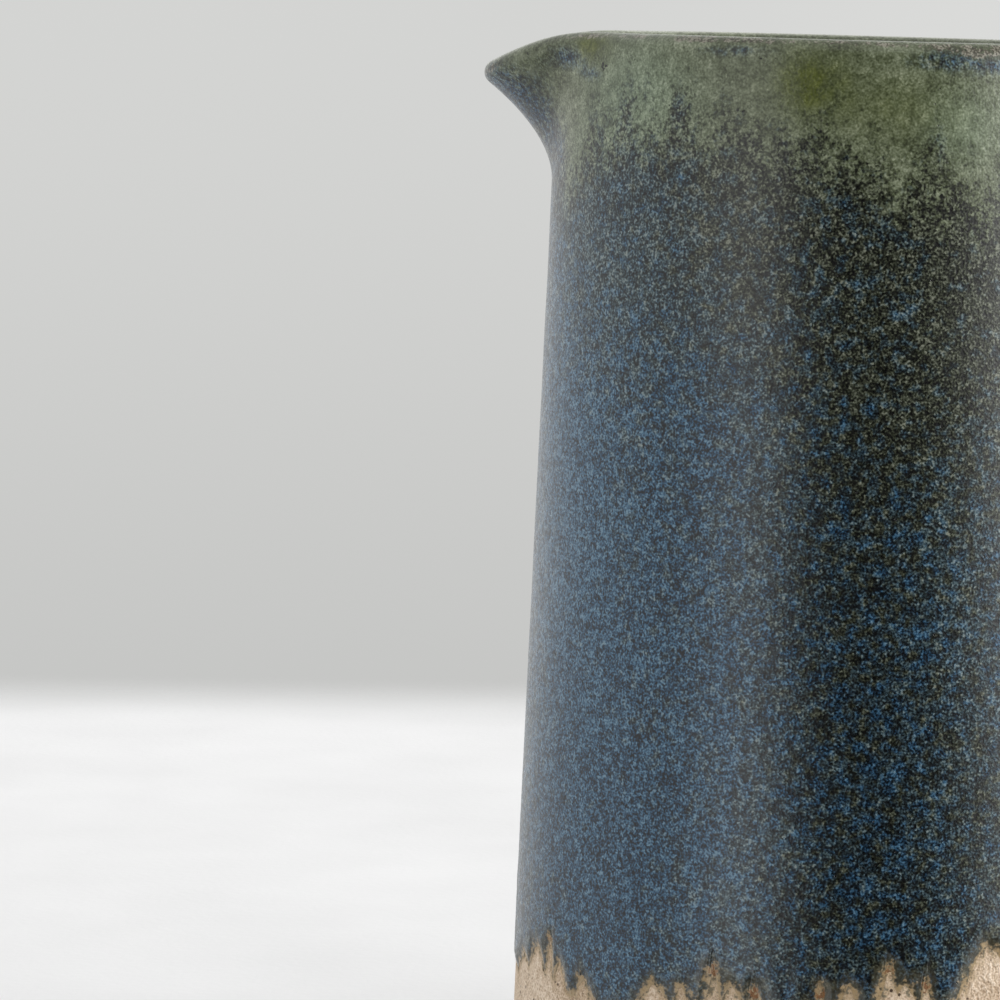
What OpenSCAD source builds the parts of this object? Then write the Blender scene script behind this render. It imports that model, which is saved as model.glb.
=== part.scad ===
// Hand-thrown stoneware pitcher: tapered wall, pulled spout at -X, strap handle at +X, foot at z = 0.

/* [Body] */
// Height of the lip above the resting plane at the handle's side
height = 187.5; // [170:0.5:210]
// Outer radius of the glazed body, carried down to the resting plane
foot_r = 59; // [55:0.5:65]
// Outer radius of the glazed body at the lip
rim_r = 50; // [46:0.5:56]
// Clay wall thickness at the foot
wall_foot = 5.2; // [4:0.1:7]
// Clay wall thickness at the lip
wall_lip = 3.4; // [2.6:0.1:4.5]
// Height at which the plain wall ends and the rim with its spout begins
collar_z = 162; // [150:1:163]
// How much higher the lip stands at the spout than at the handle
rim_rise = 2.6; // [0:0.1:4]

/* [Foot] */
// Height of the foot ring, which is also the depth of the recess under the floor
foot_h = 2.2; // [1.5:0.1:4]
// Inner radius of the foot ring
foot_ring_inner_r = 45; // [42:0.5:48]
// Width of the bevel round the outside of the foot
foot_bevel = 1.8; // [1:0.1:3]
// Clay thickness of the floor above the recess
floor_t = 6.3; // [4:0.1:9]
// Radius of the hollow corner between the floor and the wall
cove_r = 8; // [5:0.5:10]

/* [Spout] */
// How far the spout's tip reaches out past the wall
spout_reach = 11.6; // [8:0.2:14]
// How far below the lip the spout begins to leave the wall
spout_depth = 17; // [12:0.5:18]
// Angular half width of the spout
spout_spread = 17; // [14:0.5:20]
// How far the wall is pinched in on both sides of the spout
pinch = 0.9; // [0:0.1:1.5]
// How far the spout's tip hangs below the rest of the lip
lip_drop = 6.8; // [3:0.2:8]

/* [Handle] */
// Height at which the handle's middle line leaves the wall at its upper root
handle_top_z = 152; // [135:1:152]
// Height at which the handle's middle line meets the wall at its lower root
handle_low_z = 62; // [50:1:75]
// How far out the handle is pulled: its bow reaches about three quarters of this
handle_pull = 50; // [42:1:56]
// How far the handle's curve is pulled up above its upper root
handle_arch = 25; // [15:1:30]
// How far above its lower root the handle's curve starts to swing in
handle_belly = 32; // [20:1:40]
// Width of the strap near its upper root
strap_w_top = 24; // [18:0.5:30]
// Width of the strap near its lower root
strap_w_low = 17; // [14:0.5:24]
// Thickness of the strap near its upper root
strap_t_top = 9; // [7:0.5:11]
// Thickness of the strap near its lower root
strap_t_low = 7; // [5:0.5:9]

/* [Glaze] */
// Thickness of every glaze coat
glaze_t = 0.4; // [0.3:0.05:0.8]
// Mean height of the lower edge of the outer coat
glaze_edge_z = 37; // [20:1:45]
// Height of the waves in the lower edge of the outer coat
glaze_edge_wave = 3; // [0:0.1:5]

/* [Hidden] */

clay_color = "#cdb496";
blue_color = "#4d6070";
green_color = "#6f7a5c";
liner_color = "#565e4c";

// Sides of every turned surface
turned_fn = 96;
floor_top_z = foot_h + floor_t;
cove_top_z = floor_top_z + cove_r;
cove_step = 15;

// Power by which the spout's push fades from the lip down to spout_depth below it
spout_power = 1.85;
// How much narrower the spout is at its throat than at its lip, as a share
throat_narrowing = 0.2;
// Angle from the spout's middle at which the pinch is deepest, and its half width
pinch_phi = 35;
pinch_spread = 15;
// Angular half width of the dip in the lip at the spout's tip
drop_spread = 15.5;
// Radius of the rounded lip, glaze included
lip_r = wall_lip / 2 + glaze_t;
// Steps round the half circle of the lip
lip_steps = 6;
// Angles round the rim, measured from the spout's middle: fine steps at the spout, coarse ones elsewhere
spout_zone = 55;
spout_steps = 40;
round_steps = 30;
rim_phis = concat(
    [for (i = [0:spout_steps - 1]) -spout_zone + 2 * spout_zone * i / spout_steps],
    [for (i = [0:round_steps - 1]) spout_zone + (360 - 2 * spout_zone) * i / round_steps]);
// Rows up the rim, from its bottom at 0 to the lip at 1, closer together near the lip
rim_rows = 9;
rim_vs = [for (i = [0:rim_rows]) 1 - pow(1 - i / rim_rows, 1.5)];

// Rings and sides of the swept handle, and rings of each root
strap_rings = 34;
strap_sides = 20;
root_rings = 8;
// Where the plain strap ends and its roots begin, as a share of the handle's length
root_share = 0.12;
// Extra width and thickness of the strap at the wall, and how soon they fade, as a share of its length
root_flare_w = 9;
root_flare_t = 8;
root_fade = 0.065;
// How much of the upper root's flare the lower one has
low_flare_share = 0.7;
// Power that flattens the strap's oval cut, where 1 would be a plain oval
oval_power = 0.8;
// How far inside the wall's surface the middle line starts and ends, before the roots are cut to the wall
root_sink = 2.5;
// How far a cutting strap runs past the one that it cuts, as a share of its length
overrun = 0.01;

// Steps round the outer glaze coat, and the waves in its edge: [waves in a turn, share of the height]
coat_steps = 150;
edge_waves = [[5, 0.5], [13, 0.3], [29, 0.2]];
// Steps used to measure a slope, as a share of a height or length, and as an angle
slope_step = 0.01;
turn_step = 0.5;

// ---- shared functions ----

function mix(a, b, t) = a + (b - a) * t;
function unit(v) = v / norm(v);
function bell(x, width) = exp(-pow(x / width, 2));
function flip(list) = [for (i = [len(list) - 1:-1:0]) list[i]];
function sum(list) = list * [for (x = list) 1];

// Radius of the glazed outside at height z, then of the surfaces behind it in turn
function body_r(z) = mix(foot_r, rim_r, z / height);
function clay_r(z) = body_r(z) - glaze_t;
function wall_t(z) = mix(wall_foot, wall_lip, z / height);
function inner_r(z) = clay_r(z) - wall_t(z);
function liner_r(z) = inner_r(z) - glaze_t;

// Triangles that join ring a to ring b, each of n points numbered ring by ring
function band(a, b, n) = [for (j = [0:n - 1]) let (k = (j + 1) % n)
    each [[a * n + j, a * n + k, b * n + k], [a * n + j, b * n + k, b * n + j]]];

// Solid whose cuts follow one another all the way round
module ring_solid(cuts) {
    m = len(cuts);
    n = len(cuts[0]);
    polyhedron(
        points = [for (c = cuts) each c],
        faces = [for (i = [0:m - 1]) each band(i, (i + 1) % m, n)],
        convexity = 6);
}

// ---- the thrown body ----

// Solid cone that fills the clay body's outside, for cutting the handle's ends to the wall
module clay_cone() {
    rotate_extrude($fn = turned_fn)
        polygon([[0, 0], [clay_r(0), 0], [clay_r(height), height], [0, height]]);
}

// Arc of the hollow corner, from the wall at x = wall_x down to the floor at z = floor_z
function cove(r, wall_x, floor_z) =
    [for (a = [0:cove_step:90]) [wall_x - r + r * cos(a), floor_z + r - r * sin(a)]];
clay_cove = cove(cove_r, inner_r(cove_top_z), floor_top_z);
coat_cove = cove(cove_r - glaze_t, liner_r(cove_top_z), floor_top_z + glaze_t);
floor_r = inner_r(cove_top_z) - cove_r;

module body_wall() {
    outside = [[floor_r, foot_h], [clay_r(foot_h), foot_h], [clay_r(collar_z), collar_z]];
    inside = concat([[inner_r(collar_z), collar_z]], clay_cove);
    color(clay_color)
        rotate_extrude($fn = turned_fn)
            polygon(concat(outside, inside));
}

module floor_disc() {
    color(clay_color)
        translate([0, 0, foot_h])
            cylinder(r = floor_r, h = floor_t, $fn = turned_fn);
}

module foot_ring() {
    color(clay_color)
        rotate_extrude($fn = turned_fn)
            polygon([
                [foot_ring_inner_r, 0],
                [clay_r(0) - foot_bevel, 0],
                [clay_r(foot_h), foot_h],
                [foot_ring_inner_r - foot_h / 2, foot_h]]);
}

// ---- the rim with its pulled spout ----

// phi brought into -180 to 180
function turned(phi) = phi - 360 * round(phi / 360);

// Height of the lip's crest at angle phi from the spout's middle
function lip_z(phi) =
    height + rim_rise * (1 + cos(phi)) / 2 - lip_drop * bell(turned(phi), drop_spread);

// How far the wall is pushed out, at angle phi and at a given depth below the lip
function bulge(phi, depth) =
    let (
        fade = max(0, 1 - depth / spout_depth),
        spread = spout_spread * mix(1 - throat_narrowing, 1, fade),
        push = spout_reach * pow(fade, spout_power) * bell(turned(phi), spread),
        pull = pinch * fade * bell(abs(turned(phi)) - pinch_phi, pinch_spread))
    push - pull;

// Point of the glazed outside, at angle phi and at share v of the way up the rim, and its outward direction
function shell(phi, v) =
    let (
        top_z = lip_z(phi) - lip_r,
        z = mix(collar_z, top_z, v),
        r = body_r(z) + bulge(phi, top_z - z))
    [-r * cos(phi), -r * sin(phi), z];
function up_slope(phi, v) = unit(shell(phi, v + slope_step) - shell(phi, v - slope_step));
function around_slope(phi, v) = unit(shell(phi + turn_step, v) - shell(phi - turn_step, v));
function outward(phi, v) = unit(cross(around_slope(phi, v), up_slope(phi, v)));

// The same point moved in by depth, and kept on the rim's flat bottom
function skin(phi, v, depth) =
    let (p = shell(phi, v) - depth * outward(phi, v))
    v == 0 ? [p.x, p.y, collar_z] : p;
function rim_wall_t(v) = wall_t(mix(collar_z, height, v));

// Outline of the rim's cut at angle phi, for a surface that stands proud of the clay by coat:
// up the outside, over the lip and down the inside
function rim_cut(phi, coat) =
    let (
        crest = skin(phi, 1, lip_r),
        out = outward(phi, 1),
        up = cross(out, around_slope(phi, 1)),
        r = wall_lip / 2 + coat)
    concat(
        [for (i = [0:rim_rows - 1]) skin(phi, rim_vs[i], glaze_t - coat)],
        [for (i = [0:lip_steps])
            let (a = 180 * i / lip_steps)
            crest + r * (out * cos(a) + up * sin(a))],
        [for (i = [rim_rows - 1:-1:0])
            skin(phi, rim_vs[i], glaze_t + rim_wall_t(rim_vs[i]) + coat)]);

module rim_and_spout() {
    color(clay_color)
        ring_solid([for (phi = rim_phis) rim_cut(phi, 0)]);
}

// ---- the handle ----

handle_start = [clay_r(handle_top_z) - root_sink, handle_top_z];
handle_end = [clay_r(handle_low_z) - root_sink, handle_low_z];
upper_control = [rim_r + handle_pull, handle_top_z + handle_arch];
lower_control = [rim_r + handle_pull, handle_low_z + handle_belly];

// Middle line of the handle in the plane y = 0, at share s of its length, and its direction there
function strap_mid(s) =
    pow(1 - s, 3) * handle_start + 3 * pow(1 - s, 2) * s * upper_control
        + 3 * (1 - s) * pow(s, 2) * lower_control + pow(s, 3) * handle_end;
function strap_dir(s) = unit(strap_mid(s + slope_step) - strap_mid(s - slope_step));

function root_flare(s) = bell(s, root_fade) + low_flare_share * bell(1 - s, root_fade);
function strap_w(s) = mix(strap_w_top, strap_w_low, s) + root_flare_w * root_flare(s);
function strap_t(s) = mix(strap_t_top, strap_t_low, s) + root_flare_t * root_flare(s);

// Cut of the strap at share s: an oval with flattened faces, grown by coat
function flatten(x) = sign(x) * pow(abs(x), oval_power);
function strap_cut(s, coat) =
    let (c = strap_mid(s), d = strap_dir(s), w = strap_w(s) / 2 + coat, t = strap_t(s) / 2 + coat)
    [for (i = [0:strap_sides - 1])
        let (a = 360 * i / strap_sides, across = w * flatten(cos(a)), through = t * flatten(sin(a)))
        [c.x - d.y * through, -across, c.y + d.x * through]];

// Solid swept along the handle from share s0 to share s1
module strap(s0, s1, coat, rings) {
    n = strap_sides;
    first_cap = [for (j = [n - 1:-1:0]) j];
    last_cap = [for (j = [0:n - 1]) rings * n + j];
    polyhedron(
        points = [for (i = [0:rings]) each strap_cut(mix(s0, s1, i / rings), coat)],
        faces = concat([for (i = [0:rings - 1]) each band(i, i + 1, n)], [first_cap, last_cap]),
        convexity = 4);
}

module handle_strap() {
    color(clay_color)
        strap(root_share, 1 - root_share, 0, strap_rings);
}

module handle_upper_root() {
    color(clay_color)
        difference() {
            strap(0, root_share, 0, root_rings);
            clay_cone();
        }
}

module handle_lower_root() {
    color(clay_color)
        difference() {
            strap(1 - root_share, 1, 0, root_rings);
            clay_cone();
        }
}

// ---- the glaze coats ----

// Height of the wavy lower edge of the outer coat at angle a from the handle's side
function edge_z(a) = glaze_edge_z + glaze_edge_wave * sum([for (w = edge_waves) w[1] * cos(w[0] * a)]);

module outer_glaze() {
    color(blue_color)
        difference() {
            ring_solid([for (i = [0:coat_steps - 1])
                let (a = 360 * i / coat_steps, z = edge_z(a), side = [cos(a), sin(a)])
                [[each side * body_r(z), z],
                 [each side * body_r(collar_z), collar_z],
                 [each side * clay_r(collar_z), collar_z],
                 [each side * clay_r(z), z]]]);
            strap(0, 1, glaze_t, strap_rings);
        }
}

module rim_glaze() {
    color(green_color)
        ring_solid([for (phi = rim_phis) concat(rim_cut(phi, glaze_t), flip(rim_cut(phi, 0)))]);
}

module liner_glaze() {
    clay_line = concat([[inner_r(collar_z), collar_z]], clay_cove, [[0, floor_top_z]]);
    coat_line = concat([[liner_r(collar_z), collar_z]], coat_cove, [[0, floor_top_z + glaze_t]]);
    color(liner_color)
        rotate_extrude($fn = turned_fn)
            polygon(concat(clay_line, flip(coat_line)));
}

module handle_glaze() {
    color(blue_color)
        difference() {
            strap(0, 1, glaze_t, strap_rings);
            strap(-overrun, 1 + overrun, 0, strap_rings);
            clay_cone();
        }
}

body_wall();
rim_and_spout();
floor_disc();
foot_ring();
handle_strap();
handle_upper_root();
handle_lower_root();
outer_glaze();
rim_glaze();
liner_glaze();
handle_glaze();
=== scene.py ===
"""Stoneware pitcher: its fine glaze, clay and handle surfaces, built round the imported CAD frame."""

import math

import bpy
import numpy as np
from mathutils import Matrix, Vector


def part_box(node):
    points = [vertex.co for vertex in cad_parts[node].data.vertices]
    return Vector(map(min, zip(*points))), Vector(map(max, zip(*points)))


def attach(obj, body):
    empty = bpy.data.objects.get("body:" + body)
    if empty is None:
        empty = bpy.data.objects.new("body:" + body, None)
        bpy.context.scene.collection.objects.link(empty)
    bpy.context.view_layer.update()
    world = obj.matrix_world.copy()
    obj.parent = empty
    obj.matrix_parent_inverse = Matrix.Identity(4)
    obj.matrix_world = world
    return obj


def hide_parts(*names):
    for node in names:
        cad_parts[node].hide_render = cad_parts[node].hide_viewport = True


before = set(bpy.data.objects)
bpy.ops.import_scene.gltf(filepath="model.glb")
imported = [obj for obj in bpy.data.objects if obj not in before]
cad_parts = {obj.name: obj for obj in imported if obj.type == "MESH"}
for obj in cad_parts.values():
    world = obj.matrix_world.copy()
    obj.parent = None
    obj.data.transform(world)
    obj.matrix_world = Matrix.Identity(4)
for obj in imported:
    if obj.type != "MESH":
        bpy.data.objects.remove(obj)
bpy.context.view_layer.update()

MM = 0.001

# ---- sizes read from the frame ----

rim_low, rim_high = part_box("rim_glaze")
clay_rim_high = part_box("rim_and_spout")[1]
ring_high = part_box("foot_ring")[1]
floor_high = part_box("floor_disc")[1]

COLLAR_Z = rim_low.z                        # where the rim coat meets the outer coat
FOOT_H = ring_high.z                        # height of the foot ring
FLOOR_TOP = floor_high.z                    # clay floor inside the vessel
GLAZE_T = rim_high.z - clay_rim_high.z      # thickness of a glaze coat
COLLAR_R = rim_high.x                       # glazed radius at COLLAR_Z
FOOT_R = ring_high.x + GLAZE_T              # glazed radius carried down to FOOT_H

# ---- the CAD's own shape numbers, in metres and degrees ----

HEIGHT = 187.5 * MM
RIM_RISE = 2.6 * MM
SPOUT_REACH, SPOUT_DEPTH = 11.6 * MM, 17 * MM
SPOUT_SPREAD, SPOUT_POWER, THROAT_NARROWING = 17, 1.85, 0.2
PINCH, PINCH_PHI, PINCH_SPREAD = 0.9 * MM, 35, 15
LIP_DROP, DROP_SPREAD = 6.8 * MM, 15.5
WALL_FOOT, WALL_LIP = 5.2 * MM, 3.4 * MM
COVE_R = 8 * MM
FOOT_RING_INNER_R, FOOT_BEVEL = 45 * MM, 1.8 * MM

HANDLE_TOP_Z, HANDLE_LOW_Z = 152 * MM, 62 * MM
HANDLE_PULL, HANDLE_ARCH, HANDLE_BELLY = 50 * MM, 25 * MM, 32 * MM
STRAP_W_TOP, STRAP_W_LOW = 24 * MM, 17 * MM
STRAP_T_TOP, STRAP_T_LOW = 9 * MM, 7 * MM
ROOT_FLARE_W, ROOT_FLARE_T, ROOT_FADE, LOW_FLARE_SHARE = 9 * MM, 8 * MM, 0.065, 0.7
OVAL_POWER = 0.8
ROOT_SINK = 2.5 * MM

# ---- how finely the surfaces are drawn ----

COLUMNS = 900                               # round the body
EDGE_ROWS, WALL_ROWS = 18, 66               # outer coat: near its lower edge, and above
RIM_ROWS, LIP_ROWS = 26, 16
LINER_ROWS, COVE_ROWS, FLOOR_ROWS = 62, 12, 14
HANDLE_ROWS, HANDLE_SIDES, FILLET_ROWS = 220, 120, 9

PHI = np.linspace(0, 360, COLUMNS, endpoint=False)   # angle from the spout's middle, spout at -X
ZERO = 0 * PHI


# ---- small helpers ----

def mix(a, b, t):
    return a + (b - a) * t


def bell(x, width):
    return np.exp(-(x / width) ** 2)


def turned(phi):
    """phi brought into -180 to 180."""
    return phi - 360 * np.round(phi / 360)


def smooth(x):
    """0 below 0, 1 above 1, and an easy curve between."""
    x = np.clip(x, 0, 1)
    return x * x * (3 - 2 * x)


def unit(v):
    return v / np.maximum(np.linalg.norm(v, axis=-1, keepdims=True), 1e-12)


def place(r, phi, z):
    """Points at radius r, angle phi and height z."""
    a = np.radians(phi)
    return np.stack(np.broadcast_arrays(-r * np.cos(a), -r * np.sin(a), z), -1)


def waves(phi, z, seed, count, turns, length):
    """Soft unevenness, mostly within -1 to 1: count waves with fewer than turns crests round the body, and at
    least length from crest to crest up it."""
    random = np.random.default_rng(seed)
    total = 0
    for _ in range(count):
        around = random.integers(1, turns)
        upward = random.uniform(-1, 1) / length
        start = random.uniform(0, 2 * math.pi)
        total = total + np.sin(np.radians(phi) * around + 2 * math.pi * z * upward + start)
    return total / math.sqrt(2 * count)


# ---- the shape of the thrown body ----

def body_r(z):
    return mix(FOOT_R, COLLAR_R, (z - FOOT_H) / (COLLAR_Z - FOOT_H))


def wall_t(z):
    return mix(WALL_FOOT, WALL_LIP, z / HEIGHT)


def liner_r(z):
    return body_r(z) - 2 * GLAZE_T - wall_t(z)


def lip_z(phi):
    dip = LIP_DROP * bell(turned(phi), DROP_SPREAD)
    return HEIGHT + RIM_RISE * (1 + np.cos(np.radians(phi))) / 2 - dip


def bulge(phi, depth):
    """How far the spout pushes the wall out, less how far the pinch beside it pulls it in."""
    fade = np.maximum(0, 1 - depth / SPOUT_DEPTH)
    spread = SPOUT_SPREAD * mix(1 - THROAT_NARROWING, 1, fade)
    push = SPOUT_REACH * fade ** SPOUT_POWER * bell(turned(phi), spread)
    pull = PINCH * fade * bell(np.abs(turned(phi)) - PINCH_PHI, PINCH_SPREAD)
    return push - pull


SLOW_UNEVEN, QUICK_UNEVEN = 0.10 * MM, 0.03 * MM
UNEVEN_INSET = 0.08 * MM                    # keeps the uneven wall within the CAD's
FADE_AT_LIP, FADE_AT_FOOT = 25 * MM, 15 * MM


def hand(phi, z):
    """The potter's hand: the wall is never quite round. It fades out at the lip and at the foot."""
    fade = smooth((lip_z(phi) - z) / FADE_AT_LIP) * smooth((z - FOOT_H) / FADE_AT_FOOT)
    slow = SLOW_UNEVEN * waves(phi, z, 3, 8, 4, 90 * MM)
    quick = QUICK_UNEVEN * waves(phi, z, 4, 14, 20, 16 * MM)
    return fade * (slow + quick - UNEVEN_INSET)


def outer_r(phi, z):
    """Radius of the glazed outside below the rim."""
    return body_r(z) + hand(phi, z)


LIP_R = WALL_LIP / 2 + GLAZE_T               # radius of the rounded lip
SLOPE_STEP, TURN_STEP = 0.01, 0.5           # steps for a surface's directions, in share and in degrees
CLOSER_TO_LIP = 1.35                        # how the rim's rows crowd towards the lip


def rim_shell(phi, v):
    """Points of the rim's glazed outside, from its bottom at v = 0 to the lip at v = 1."""
    top = lip_z(phi) - LIP_R
    z = mix(COLLAR_Z, top, v)
    return place(outer_r(phi, z) + bulge(phi, top - z), phi, z)


def rim_directions(v):
    """Outward and upward directions of the rim's outside."""
    up = unit(rim_shell(PHI, v + SLOPE_STEP) - rim_shell(PHI, v - SLOPE_STEP))
    around = unit(rim_shell(PHI + TURN_STEP, v) - rim_shell(PHI - TURN_STEP, v))
    out = unit(np.cross(around, up))
    return out, unit(np.cross(out, around))


def rim_rows(coat, count, lip_count):
    """Rows up the rim's outside, over the lip and down its inside, proud of the clay by coat."""
    shares = 1 - (1 - np.linspace(0, 1, count)) ** CLOSER_TO_LIP
    outside, inside = [], []
    for v in shares:
        out, up = rim_directions(v)
        wall = wall_t(mix(COLLAR_Z, HEIGHT, v))
        point = rim_shell(PHI, v)
        outside.append(point - (GLAZE_T - coat) * out)
        inside.append(point - (GLAZE_T + wall + coat) * out)
    outside[0] = place(outer_r(PHI, COLLAR_Z) - GLAZE_T + coat, PHI, COLLAR_Z)
    inside[0] = place(liner_r(COLLAR_Z) + GLAZE_T - coat, PHI, COLLAR_Z)
    middle = point - LIP_R * out
    angles = np.linspace(0, math.pi, lip_count + 1)[1:-1]
    radius = WALL_LIP / 2 + coat
    lip = [middle + radius * (out * math.cos(a) + up * math.sin(a)) for a in angles]
    return outside + lip + inside[::-1]


# ---- the lower edge of the outer coat ----

# Where bare clay shows between the runs of glaze: angle, height of the peak, half width in degrees, and how
# round its top is, from 1 for a flame to 3 for a broad hump
PEAKS = [
    (17, 33.5, 5, 2), (24, 36.5, 4, 2.5), (29.5, 39.5, 1.4, 1.3), (33, 35.5, 2.5, 1.5), (40.5, 34, 2.2, 2),
    (57, 35.5, 3, 2.2), (62, 36, 2, 1.5), (68, 40.5, 1.3, 1.3), (71, 37, 2.4, 1.6), (75, 37.5, 1.6, 1.3),
    (86, 38, 1.3, 1.3), (90.5, 38.5, 1.7, 1.5), (97, 41.5, 1.8, 1.3), (99.5, 38, 3, 1.6), (103, 39, 1.2, 1.3),
    (114, 44, 5, 1.8), (121, 40.5, 3, 1.8)]
MORE_FROM, MORE_TO, MORE_GAPS = 128, 366, (3.5, 13)   # more peaks round the rest of the body
# Least and most half width, least and most height, and roundness of these peaks
FLAME, HUMP = ((1.1, 2), (36, 43), 1.3), ((2.5, 6), (34, 39), 2)
FLAMES = 0.45                               # how many of them are flames
EDGE_Z, EDGE_TILT, EDGE_WAVER = 31.4, 1.8, 0.6   # of the edge between its peaks, in mm
RAGGED, FINELY_RAGGED = 0.45, 0.28          # in mm


def all_peaks():
    """The peaks listed above, and others like them round the rest of the body."""
    random = np.random.default_rng(11)
    peaks, phi = list(PEAKS), MORE_FROM
    while phi < MORE_TO:
        widths, heights, roundness = FLAME if random.random() < FLAMES else HUMP
        width = random.uniform(*widths)
        height = random.uniform(*heights)
        peaks.append((phi, height, width, roundness))
        phi += random.uniform(*MORE_GAPS)
    return peaks


def edge_z(phi):
    """Height of the outer coat's lower edge: round runs of glaze with ragged peaks of clay between them."""
    tilt = EDGE_TILT * np.cos(np.radians(phi))
    base = (EDGE_Z - tilt) * MM + EDGE_WAVER * MM * waves(phi, 0, 7, 9, 30, 1)
    edge = base
    for peak, height, width, roundness in all_peaks():
        away = np.abs(turned(phi - peak)) / width
        edge = np.maximum(edge, base + (height * MM - base) * np.exp(-away ** roundness))
    ragged = RAGGED * waves(phi, 0, 8, 20, 90, 1) + FINELY_RAGGED * waves(phi, 0, 9, 30, 240, 1)
    return edge + ragged * MM


EDGE_MIDDLE_Z = 35 * MM
EDGE_REACH = 20                             # columns to each side in which the nearest edge is looked for
FAR_FROM_EDGE = 99 * MM


def edge_distance(rows):
    """Distance in millimetres from each point of a grid to the coat's lower edge, right up to about 8."""
    edge = edge_z(PHI)
    step = 2 * math.pi * body_r(EDGE_MIDDLE_Z) / COLUMNS
    nearest = np.full(rows.shape[:2], FAR_FROM_EDGE)
    for k in range(-EDGE_REACH, EDGE_REACH):
        start_x, start_z = k * step, np.roll(edge, -k)
        along_z = np.roll(edge, -k - 1) - start_z
        share = ((rows[..., 2] - start_z) * along_z - start_x * step) / (step ** 2 + along_z ** 2)
        share = np.clip(share, 0, 1)
        away = np.hypot(start_x + share * step, rows[..., 2] - start_z - share * along_z)
        nearest = np.minimum(nearest, away)
    return nearest / MM


BEAD_SHARE, BEAD_AT_MM, BEAD_HALF_MM = 0.25, 3.2, 1.8
FEATHER_SHARE, FEATHER_MM = 0.06, 2.2       # thickness at the very edge, and where it is close to full


def coat_t(edge_mm):
    """Thickness of the outer coat at a distance from its edge: it feathers out past a faint bead."""
    bead = 1 + BEAD_SHARE * bell(edge_mm - BEAD_AT_MM, BEAD_HALF_MM)
    return GLAZE_T * bead * smooth(FEATHER_SHARE + edge_mm / FEATHER_MM)


# ---- the glazed skin: one grid from the lower edge up, over the lip and down to the middle of the floor ----

RING_PITCH, RING_DEPTH, RING_FADE = 7.5 * MM, 0.2 * MM, 40 * MM
RING_START = 10 * MM                        # height above the hollow corner over which the rings begin
RIPPLE_PITCH, RIPPLE_DEPTH = 9 * MM, 0.15 * MM   # of the rings across the floor
RIPPLE_START, RIPPLE_END = 12 * MM, 8 * MM  # where they begin from its middle, and end at the corner
EDGE_SHARE = 0.045                          # share of the outer coat's height that has the close rows
CLOSER_TO_EDGE = 1.6                        # how these crowd towards the edge
CLAY_SIDE = -0.05 * MM                      # where a coat's hidden back lies, just inside the clay


def throwing_rings(phi, z):
    """The spiral left by the fingers inside, which fades near the rim."""
    fade = smooth((COLLAR_Z - z) / RING_FADE)
    return -RING_DEPTH * fade * (1 - np.cos(2 * math.pi * (z / RING_PITCH + phi / 360)))


def outer_rows():
    """Rows up the outer coat, close together at its edge."""
    edge = edge_z(PHI)
    near = EDGE_SHARE * np.linspace(0, 1, EDGE_ROWS, endpoint=False) ** CLOSER_TO_EDGE
    rows = []
    for share in np.concatenate([near, np.linspace(EDGE_SHARE, 1, WALL_ROWS)]):
        z = mix(edge, COLLAR_Z, share)
        clay = place(outer_r(PHI, z) - GLAZE_T, PHI, z)
        proud = coat_t(edge_distance(clay[None])[0]) if share < 2 * EDGE_SHARE else GLAZE_T
        rows.append(clay + place(proud, PHI, 0))
    return rows


def liner_rows(coat, wall_count, cove_count, floor_count):
    """Rows down the inside wall, round the hollow corner and across the floor, proud of the clay by coat."""
    cove_top = FLOOR_TOP + COVE_R
    clay_inner_r = liner_r(cove_top) + GLAZE_T
    bend = COVE_R - coat
    floor_r = clay_inner_r - COVE_R
    rows = []
    for z in np.linspace(COLLAR_Z, cove_top, wall_count):
        r = liner_r(z) + GLAZE_T - coat + throwing_rings(PHI, z) * smooth((z - cove_top) / RING_START)
        rows.append(place(r, PHI, z))
    for a in np.linspace(0, math.pi / 2, cove_count)[1:]:
        rows.append(place(floor_r + bend * math.cos(a) + ZERO, PHI, FLOOR_TOP + COVE_R - bend * math.sin(a)))
    for share in np.linspace(1, 0, floor_count)[1:-1]:
        r = floor_r * share
        ripple = RIPPLE_DEPTH * (1 - math.cos(2 * math.pi * r / RIPPLE_PITCH)) * smooth(r / RIPPLE_START)
        rows.append(place(r + ZERO, PHI, FLOOR_TOP + coat + ripple * smooth((floor_r - r) / RIPPLE_END)))
    return rows


def grid_normals(rows):
    """Normals of a grid that closes on itself round the body."""
    around = np.roll(rows, -1, 1) - np.roll(rows, 1, 1)
    upward = np.gradient(rows, axis=0)
    return unit(np.cross(around, upward))


# ---- meshes ----

def ring_faces(rows, columns, closed=False):
    """Quads between neighbouring rows of a grid that closes round the body, and, if closed, from its last row
    to its first."""
    faces = []
    for i in range(rows if closed else rows - 1):
        low, high = i * columns, (i + 1) % rows * columns
        faces += [
            (low + j, low + (j + 1) % columns, high + (j + 1) % columns, high + j)
            for j in range(columns)]
    return faces


def fan(first, columns, pole, flip):
    """Triangles from one row to a pole."""
    ring = [(first + j, first + (j + 1) % columns, pole) for j in range(columns)]
    return [(b, a, p) for a, b, p in ring] if flip else ring


def piece_of(name, points, faces, replaced, normals=None, masks=None):
    """A smooth mesh that rides on the part's one body and stands for CAD nodes."""
    mesh = bpy.data.meshes.new(name)
    mesh.from_pydata(points.tolist(), [], faces)
    mesh.shade_smooth()
    if normals is not None:
        mesh.normals_split_custom_set_from_vertices(normals.tolist())
    for key, values in (masks or {}).items():
        attribute = mesh.attributes.new(key, "FLOAT", "POINT")
        attribute.data.foreach_set("value", np.ravel(values).astype(np.float32))
    piece = bpy.data.objects.new(name, mesh)
    bpy.context.scene.collection.objects.link(piece)
    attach(piece, "root")
    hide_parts(*replaced)
    return piece


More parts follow.
